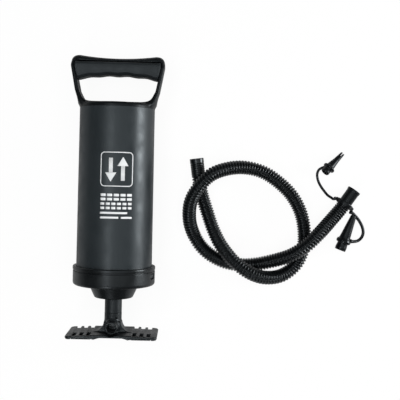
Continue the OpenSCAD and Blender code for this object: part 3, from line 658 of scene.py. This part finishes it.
def make_barrel():
    """The barrel's tube, with the two bayonet lugs that show in the cap's windows."""
    outer = [(BARREL_LOW_R, BARREL_LOW, 0.4), (BARREL_LOW_R, CAP_TOP, 0)]
    outer += [(barrel_r(z), z, 0) for z in (120, 160, 200, 240, 275)]
    profile = rounded([*outer, (47.74, BARREL_TOP, 0.3), (BARREL_BORE_R, BARREL_TOP, 0.3),
                       (BARREL_BORE_R, BARREL_LOW, 0.4)], steps=3)

    def add_lugs(work):
        for turn in (0, 180):
            made = bmesh.ops.create_cube(work, size=1)
            bmesh.ops.scale(work, vec=LUG_SIZE, verts=made["verts"])
            edges = list({e for v in made["verts"] for e in v.link_edges})
            bmesh.ops.translate(work, vec=LUG_AT, verts=made["verts"])
            rounded_off = bmesh.ops.bevel(work, geom=edges, offset=LUG_EDGE, segments=3,
                                          affect="EDGES", profile=0.5)
            verts = list({v for f in rounded_off["faces"] for v in f.verts})
            bmesh.ops.rotate(work, cent=(0, 0, 0), verts=verts,
                             matrix=Matrix.Rotation(math.radians(WINDOW_AZ + turn), 3, "Z"))

    return piece("barrel_tube", *lathe(profile, BARREL_SIDES), GRAPHITE, "barrel_plastic",
                 replaced=("barrel",), after=add_lugs)


# ---- Print on the barrel: a plain generic mark, with no lettering ----

def ribbon(line, width, closed=False):
    """Points and faces of a flat band along a line of (across, along) points."""
    line = np.array(line, float)
    if closed:
        ahead = np.roll(line, -1, 0) - np.roll(line, 1, 0)
    else:
        ahead = np.gradient(line, axis=0)
    ahead /= np.linalg.norm(ahead, axis=1)[:, None]
    side = np.stack([-ahead[:, 1], ahead[:, 0]], axis=1) * width / 2
    count = len(line)
    points = np.concatenate([line + side, line - side])
    faces = [(k, (k + 1) % count, count + (k + 1) % count, count + k)
             for k in range(count if closed else count - 1)]
    return points, faces


def panel(x, y, half_w, half_h, corner):
    """Points and faces of a filled patch with rounded corners, fine enough to bend."""
    columns = max(2, int(half_w))
    ends = corner * (1 - np.cos(np.radians(np.arange(0, 91, 15))))
    levels = np.concatenate([half_h - ends, -half_h + ends[::-1]])
    past = np.maximum(np.abs(levels) - half_h + corner, 0)
    inset = corner - np.sqrt(np.maximum(corner ** 2 - past ** 2, 0))
    across = np.linspace(-1, 1, columns + 1)
    points = [(x + a * (half_w - cut), y + level) for level, cut in zip(levels, inset) for a in across]
    wide = columns + 1
    faces = [(r * wide + k, r * wide + k + 1, (r + 1) * wide + k + 1, (r + 1) * wide + k)
             for r in range(len(levels) - 1) for k in range(columns)]
    return points, faces


def mark_shapes():
    """The pale mark, in mm across and along the barrel: a frame, two arrows, blocks and bars."""
    half_w, half_h, corner = 19.8, 20.7, 4.5
    line_w, arrow_x, shaft_low, head_low, head_len, head_half = 1.2, 7.5, -14, 4, 11, 6.6
    head_columns, head_rows = 8, 6
    frame_line = []
    for i, (sx, sy) in enumerate(((1, -1), (1, 1), (-1, 1), (-1, -1))):
        for k in range(8):
            a = math.radians(-90 + 90 * i + 90 / 7 * k)
            frame_line.append((sx * (half_w - corner) + corner * math.cos(a),
                               sy * (half_h - corner) + corner * math.sin(a)))
    smooth = []
    for (x0, y0), (x1, y1) in zip(frame_line, frame_line[1:] + frame_line[:1]):
        parts = max(1, int(math.hypot(x1 - x0, y1 - y0) / 1.5))
        smooth += [(x0 + (x1 - x0) * k / parts, y0 + (y1 - y0) * k / parts) for k in range(parts)]
    shapes = [ribbon(smooth, line_w, closed=True)]
    wide = head_columns + 1
    for way in (1, -1):
        x = arrow_x * way
        for k in range(4):
            at = x - 1.5 * line_w + line_w * k
            shapes.append(ribbon([(at, shaft_low * way), (at, head_low * way)], line_w))
        head = [[(x + a * (head_half * (1 - t) + 0.3), (head_low + head_len * t) * way)
                 for a in np.linspace(-1, 1, wide)] for t in np.linspace(0, 1, head_rows + 1)]
        shapes.append(([q for level in head for q in level],
                       [(wide * r + k, wide * r + k + 1, wide * (r + 1) + k + 1, wide * (r + 1) + k)
                        for r in range(head_rows) for k in range(head_columns)]))
    for level, count, height in ((-34.2, 5, 3.2), (-45.0, 6, 3.0)):
        pitch = 41 / count
        for k in range(count):
            for rise in (-1, 1):
                shapes.append(panel(-20.5 + pitch * (k + 0.5), level + 2.6 * rise, pitch / 2 - 0.9,
                                    height / 2, 0.5))
    for level, low, high in ((-53.6, -20, 14), (-59.4, -20, 3), (-59.4, 6, 20)):
        shapes.append(panel((low + high) / 2, level, (high - low) / 2, 1.2, 0.5))
    return shapes


def make_print(name, shapes, skin, thick, azimuth=6.2, station=214.4):
    """The mark bent round the barrel: `azimuth` and `station` say where its middle is."""
    points, faces = [], []
    for shape_points, shape_faces in shapes:
        base = len(points)
        for across, along in shape_points:
            z = station + along
            r = barrel_r(z)
            a = math.radians(azimuth) + across / r
            points.append((r * math.sin(a), -r * math.cos(a), z))
        faces += [tuple(base + i for i in f) for f in shape_faces]

    def thicken(work):
        bmesh.ops.recalc_face_normals(work, faces=work.faces)
        for face in work.faces:
            middle = face.calc_center_median()
            if face.normal.dot(Vector((middle.x, middle.y, 0))) < 0:
                face.normal_flip()
        made = bmesh.ops.extrude_face_region(work, geom=work.faces[:])
        for v in [g for g in made["geom"] if isinstance(g, bmesh.types.BMVert)]:
            out = Vector((v.co.x, v.co.y, 0)).normalized()
            v.co += out * thick

    return piece(name, points, faces, skin, "barrel_plastic", after=thicken)


# ---- Handle ----

def top_edge(x):
    """Height of the rail's top, which dips in the middle."""
    return RAIL_TOP - RAIL_DIP * (1 - (np.minimum(x, RAIL_HALF) / RAIL_HALF) ** 2)


def handle_field(x, y, z):
    """Handle: the barrel's closed head flares into two arms that carry a top rail."""
    x = np.abs(x)
    # From the head up to the rail: how flat the section is, its reach, and its half depth
    flat = np.interp(z, (294, 301, ARM_LOW, ARM_TOP), (1, 0.8, 0.5, 0.35))
    rho = np.hypot(x, flat * y)
    outer = rho - np.interp(z, (288, 297, 304, ARM_LOW, ARM_TOP), (44, 47.9, 51.0, 53.8, 59.6))
    depth = np.abs(y) - np.interp(z, (HEAD_LOW, 301, ARM_LOW, ARM_TOP), (21, 18, 14.5, 13.5))
    body = smax(outer, z - top_edge(x), 10.5)
    body = smax(body, depth, np.interp(z, (344, 351), (2.6, 11)))
    # The opening for the hand, between the arms
    gap = smax(rho - np.interp(z, (HEAD_TOP, 301, ARM_LOW, ARM_TOP, 352), (41.5, 43.6, 48.8, 55, 55)),
               HEAD_TOP - z, 7)
    gap = smax(gap, z - 351, 3)
    body = smax(smax(body, -gap, 2.6), HEAD_LOW - z, 0.5)
    round_r = np.hypot(x, y)
    head = smax(smax(round_r - 47.64, z - HEAD_TOP, 3.6), HEAD_LOW - z, 0.3)
    whole = smin(body, head, np.interp(z, (HEAD_LOW, 297, 302), (0.4, 9, 9)))
    # The bar inside the grip, and the ring that sits in the barrel's mouth
    core = smax(smax(x - 55.5, np.abs(y) - 4, 0.8), np.abs(z - 345.5) - 7.5, 0.8)
    spigot = smax(smax(round_r - 45.15, 42 - round_r, 0.5), np.abs(z - 289) - 2.4, 0.5)
    return np.minimum(np.minimum(whole, core), spigot)


def grip_field(x, y, z):
    """Both grip shells as one body: crowned faces, a bead above a rolled lower edge."""
    x = np.abs(x)
    edge = 333 - 6 * (x / 54.5) ** 2.4 + 0.5 * (1 - np.cos(2 * math.pi * x / 24))
    arm = 48.8 + 6.2 * (np.minimum(z, ARM_TOP) - ARM_LOW) / (ARM_TOP - ARM_LOW)
    crown = 0.9 * ((z - 343) / 9) ** 2
    bead = 0.45 * np.exp(-((z - edge - 3.6) / 0.75) ** 2)
    body = smax(edge - z, np.abs(y) - GRIP_DEPTH + crown - bead, 8.5)
    body = smax(body, z - GRIP_TOP, 4.5)
    return smax(body, x - np.minimum(arm - 0.4, 54.1), 1.3)


def grip_front_field(x, y, z):
    """The front shell, up to the split between the two."""
    return smax(grip_field(x, y, z), y + GRIP_SPLIT, 0.5)


def grip_rear_field(x, y, z):
    """The rear shell, sunk where its screws sit."""
    body = smax(grip_field(x, y, z), GRIP_SPLIT - y, 0.5)
    for at in GRIP_SCREWS_AT:
        hole = smax(np.hypot(x - at, z - GRIP_SCREW_Z) - 3.1, 13.2 - y, 0.3)
        body = smax(body, -hole, 0.7)
    return body


def make_handle():
    """The handle and the two grip shells round its rail."""
    # The handle shell takes the darker plastic, whose darkness is painted shade.
    piece("handle_shell", *net(handle_field, (-62, -50, 285), (62, 50, 361), 0.85), HANDLE_SHADED,
          "barrel_plastic", replaced=("handle_frame",))
    box = ((-56, -18, 325), (56, 18, 353))
    piece("grip_front_shell", *net(grip_front_field, *box, 0.6), GRIP, "black_plastic",
          replaced=("grip_front",))
    piece("grip_rear_shell", *net(grip_rear_field, *box, 0.6), GRIP, "black_plastic",
          replaced=("grip_rear",))


# ---- End cap, rod and foot ----

def make_end_cap():
    """Cone, collar with its groove and lip, and the stepped inside, with two windows cut through."""
    profile = rounded([
        (11.6, 50, 0.5), (24.6, 50, 2.2), (32, 66, 1.2), (45.5, 66, 1), (COLLAR_R, 67.2, 6.2),
        (COLLAR_R, WINDOW_LOW, 0), (COLLAR_R, WINDOW_HIGH, 0), (COLLAR_R, 84.7, 0.35),
        (51.2, 84.9, 0.3), (51.2, 86.4, 0.3), (52.9, 86.7, 0.4), (52.9, CAP_TOP, 1.5),
        (CAP_BORE_R, CAP_TOP, 0.5), (CAP_BORE_R, WINDOW_HIGH, 0), (CAP_BORE_R, WINDOW_LOW, 0),
        (CAP_BORE_R, 72, 0.4), (BARREL_BORE_R, 72, 0.4), (BARREL_BORE_R, 70, 0.4), (24, 70, 0.4),
        (24, 67, 0.4), (16, 67, 0.3), (16, 62, 0.3), (13.5, 62, 0.3), (13.5, 53, 0.3),
        (11.6, 53, 0.3)], steps=6)

    def in_window(x, y, z):
        turn = (math.degrees(math.atan2(x, -y)) - WINDOW_AZ + 90) % 180 - 90
        in_wall = math.hypot(x, y) > BARREL_BORE_R + 0.8
        return WINDOW_LOW < z < WINDOW_HIGH and abs(turn) < WINDOW_HALF and in_wall

    def cut_windows(work):
        gone = [f for f in work.faces if in_window(*f.calc_center_median())]
        bmesh.ops.delete(work, geom=gone, context="FACES")
        rims = [e for e in work.edges if e.is_boundary]
        for right in (True, False):
            both = [e for e in rims if (e.verts[0].co.x > 0) == right]
            bmesh.ops.bridge_loops(work, edges=both)
        sharp = [e for e in work.edges if len(e.link_faces) == 2 and e.calc_face_angle(0) > 1.0]
        bmesh.ops.bevel(work, geom=sharp, offset=0.35, segments=2, affect="EDGES", profile=0.5)

    return piece("end_cap_collar", *lathe(profile, CAP_SIDES, WINDOW_AZ - WINDOW_HALF), COLLAR,
                 "black_plastic", replaced=("end_cap",), after=cut_windows)


def make_rod():
    """The rod's outer tube, narrowed where it plugs into the foot."""
    profile = rounded([
        (ROD_PLUG_BORE_R, ROD_LOW, 0.3), (ROD_PLUG_R, ROD_LOW, 0.5), (ROD_PLUG_R, 30, 0.2),
        (ROD_R, 30, 0.5), (ROD_R, 120, 0), (ROD_R, 200, 0), (ROD_R, ROD_TOP, 0.6),
        (ROD_BORE_R, ROD_TOP, 0.4), (ROD_BORE_R, 33, 0.5), (ROD_PLUG_BORE_R, 33, 0.4)], steps=4)
    return piece("rod_tube", *lathe(profile, 96), BLACK, "black_plastic", body="plunger",
                 replaced=("rod_outer_tube",))


def make_lock_pin():
    """The small domed pin on the neck."""
    profile = rounded([(0, -12.0, 0), (1.0, -12.0, 0.3), (1.6, -11.5, 0.5), (1.6, -8.2, 0.3),
                       (0, -8.2, 0)], steps=3, loop=False)
    place = (PUMP @ Matrix.Translation((0, 0, PIN_Z)) @ Matrix.Rotation(math.radians(PIN_TURN), 4, "Z")
             @ Matrix.Rotation(math.radians(-90), 4, "X"))
    return piece("lock_pin_dome", *lathe(profile, 40, loop=False), NOZZLE, "black_plastic",
                 body="plunger", replaced=("lock_pin",), place=place)


def foot_field(x, y, z):
    """Foot: two wings, a web, the rod's socket and a port each way."""
    side = np.abs(x)
    wing_w = FOOT_HALF_W - WEB_HALF_W
    top = WING_TOP - WING_FALL * np.clip((side - WEB_HALF_W) / wing_w, 0, 1)
    # The sole is arched, with rims to stand on, and stays low where the slots are
    sole = np.interp(side, (0, 14, 18, 21.5, 24, 49, 50, 50.8, 56.6, FOOT_HALF_W),
                     (2.2, 2.2, 1.2, 0, 0.5, 2.2, 2.2, 0, 0, 1))
    sole = np.where((side > 26) & (side < 50) & (np.abs(y - SLOT_Y) < 13), 0.2, sole)
    plan = np.hypot(np.maximum(side - FOOT_HALF_W + FOOT_CORNER, 0),
                    np.maximum(np.abs(y) - FOOT_HALF_D + FOOT_CORNER, 0)) - FOOT_CORNER
    plate = smax(smax(z - top, sole - z, 0.8), plan, 1.8)
    port_r = np.hypot(x, z - PORT_Z)
    room = smax(port_r - 9.8, PORT_COLLAR_END - np.abs(y), 0.4)
    plate = smax(plate, -room, 0.7)
    for at in GROOVES_AT:
        across = np.abs(side - at)
        level = GROOVE_FLOOR - WING_FALL * (at - WEB_HALF_W) / wing_w
        groove = smax(smax(across - GROOVE_HALF, level - z, 0.5), y - 25, 0.8)
        slot = smax(across - SLOT_HALF, np.abs(y - SLOT_Y) - SLOT_HALF_LEN, 0.8)
        slot = smax(slot, SLOT_FLOOR - z, 0.4)
        notch = smax(across - GROOVE_HALF, NOTCH_FROM - y, 0.8)
        plate = smax(smax(smax(plate, -groove, 0.5), -slot, 0.5), -notch, 0.7)
    web = smax(smax(side - WEB_HALF_W, np.abs(y) - WEB_HALF_D, 2), np.abs(z - 11.3) - 8, 1.4)
    web = smax(web, 13.4 - np.hypot(side - 24.6, z - 19.3), 1.2)
    axis_r = np.hypot(x, y)
    socket = smax(axis_r - SOCKET_R, np.abs(z - 17) - 13, 0.5)
    spout = smax(port_r - PORT_R, np.abs(y) - 25, 1.3)
    collar = smax(port_r - PORT_COLLAR_R, np.abs(y) - PORT_COLLAR_END, 1.2)
    body = smin(smin(plate, web, 2.2), smin(socket, smin(spout, collar, 0.8), 2.4), 1.6)
    body = smax(body, -smax(axis_r - ROD_PLUG_R, ROD_LOW - z, 0.4), 0.6)
    bore = smax(port_r - PORT_BORE_R, PORT_END - np.abs(y), 0.8)
    return smax(body, -bore, 1.2)


def make_foot():
    """The foot, from its field."""
    return piece("foot_plate", *net(foot_field, (-60, -33, -2), (60, 33, 32), 0.58), BLACK,
                 "black_plastic", body="plunger", replaced=("foot",))


def dress_inner_parts():
    """The CAD nodes that stay in the model get their materials."""
    skins = {
        RUBBER: ("cap_gasket", "rod_seal", "top_bumper", "bottom_bumper", "piston_ring",
                 "upper_inlet_flap", "upper_outlet_flap", "lower_inlet_flap", "lower_outlet_flap"),
        NYLON: ("rod_bush", "seal_retainer", "piston_lower", "piston_divider", "piston_upper",
                "rod_inner_tube"),
        STEEL: ("grip_screws", "retainer_screws", "piston_screws"),
    }
    for skin, names in skins.items():
        for name in names:
            mesh = frame["nodes"][name].data
            mesh.materials.clear()
            mesh.materials.append(skin)


make_barrel()
make_print("barrel_print", mark_shapes(), INK, 0.05)
make_handle()
make_end_cap()
make_rod()
make_lock_pin()
make_foot()
dress_inner_parts()


# ---- Floor, backdrop and light ----

# The floor's own tone, how much of the white backdrop it shows to the camera and to a shiny
# surface, and how bright that white is
FLOOR_HALF = 6.0
FLOOR_TONE = 0.5
FLOOR_GLOW = 0.86
FLOOR_MIRROR = 0.12
FLOOR_WHITE = 1.08
WORLD_LEVEL = 0.05
WORLD_MIRROR = 0.04

# The point that the lamps turn round, over the barrel, and the lamps: degrees off the vertical
# towards +X, place along Y, distance, width and length in metres, power in watts, seen in shine
LAMP_X, LAMP_Z = 0.03, 0.05
LAMPS = {
    "strip_right": (82, 0.13, 1.5, 0.6, 0.54, 14, True),
    "soft_left": (-17, 0.08, 1.7, 0.40, 0.7, 4, True),
    "front_patch": (-17, -1.15, 1.3, 0.45, 0.6, 6, True),
    "soft_broad": (12, 0.12, 1.6, 1.7, 0.95, 3, True),
    "plain_top": (4, 0.05, 1.5, 1.6, 1.6, 17, False),
}


def backdrop_share(tree, camera, glossy):
    """How much of the white a ray sees: `camera` of it, `glossy` in a mirror, none in other light."""
    link = tree.links.new
    path = node_of(tree, "ShaderNodeLightPath")
    mirror = node_of(tree, "ShaderNodeMath", operation="MAXIMUM")
    link(path.outputs["Is Glossy Ray"], mirror.inputs[0])
    link(path.outputs["Is Transmission Ray"], mirror.inputs[1])
    soft = node_of(tree, "ShaderNodeMath", operation="MULTIPLY")
    link(mirror.outputs[0], soft.inputs[0])
    soft.inputs[1].default_value = glossy
    seen = node_of(tree, "ShaderNodeMath", operation="MULTIPLY_ADD")
    link(path.outputs["Is Camera Ray"], seen.inputs[0])
    seen.inputs[1].default_value = camera
    link(soft.outputs[0], seen.inputs[2])
    return seen.outputs[0]


def make_floor():
    """A wide pale floor that takes the shadow."""
    mesh = bpy.data.meshes.new("floor")
    corners = [(FLOOR_HALF * x, FLOOR_HALF * y, 0) for x, y in ((-1, -1), (1, -1), (1, 1), (-1, 1))]
    mesh.from_pydata(corners, [], [(0, 1, 2, 3)])
    floor = bpy.data.objects.new("floor", mesh)
    bpy.context.scene.collection.objects.link(floor)
    material = bpy.data.materials.new("floor_white")
    material.use_nodes = True
    tree = material.node_tree
    tree.nodes.clear()
    link = tree.links.new
    diffuse = node_of(tree, "ShaderNodeBsdfDiffuse")
    diffuse.inputs["Color"].default_value = (*[FLOOR_TONE] * 3, 1)
    glow = node_of(tree, "ShaderNodeEmission", Strength=FLOOR_WHITE)
    mix = node_of(tree, "ShaderNodeMixShader")
    link(backdrop_share(tree, FLOOR_GLOW, FLOOR_MIRROR), mix.inputs["Fac"])
    link(diffuse.outputs[0], mix.inputs[1])
    link(glow.outputs[0], mix.inputs[2])
    link(mix.outputs[0], node_of(tree, "ShaderNodeOutputMaterial").inputs["Surface"])
    mesh.materials.append(material)


def make_world():
    """White behind everything, with a little plain light from all sides."""
    world = bpy.data.worlds.new("studio")
    bpy.context.scene.world = world
    world.use_nodes = True
    tree = world.node_tree
    tree.nodes.clear()
    link = tree.links.new
    plain = node_of(tree, "ShaderNodeBackground", Strength=WORLD_LEVEL)
    plain.inputs["Color"].default_value = (1, 1, 1, 1)
    shown = node_of(tree, "ShaderNodeBackground", Strength=1.0)
    shown.inputs["Color"].default_value = (1, 1, 1, 1)
    mix = node_of(tree, "ShaderNodeMixShader")
    link(backdrop_share(tree, 1.0, WORLD_MIRROR), mix.inputs["Fac"])
    link(plain.outputs[0], mix.inputs[1])
    link(shown.outputs[0], mix.inputs[2])
    link(mix.outputs[0], node_of(tree, "ShaderNodeOutputWorld").inputs["Surface"])


def area_light(name, angle, along, distance, width, length, power, shine):
    """A soft box that faces the pump, placed as a row of LAMPS says."""
    a = math.radians(angle)
    back = Vector((math.sin(a), 0, math.cos(a)))
    side = Vector((0, 1, 0)).cross(back).normalized()
    at = Vector((LAMP_X, along, LAMP_Z)) + back * distance
    data = bpy.data.lights.new(name, "AREA")
    data.shape = "RECTANGLE"
    data.size, data.size_y, data.energy = width, length, power
    lamp = bpy.data.objects.new(name, data)
    lamp.matrix_world = Matrix.Translation(at) @ Matrix((side, (0, 1, 0), back)).transposed().to_4x4()
    lamp.visible_glossy = shine
    bpy.context.scene.collection.objects.link(lamp)


make_floor()
make_world()
for lamp_name, lamp_values in LAMPS.items():
    area_light(lamp_name, *lamp_values)
bpy.context.scene.view_settings.view_transform = "Standard"
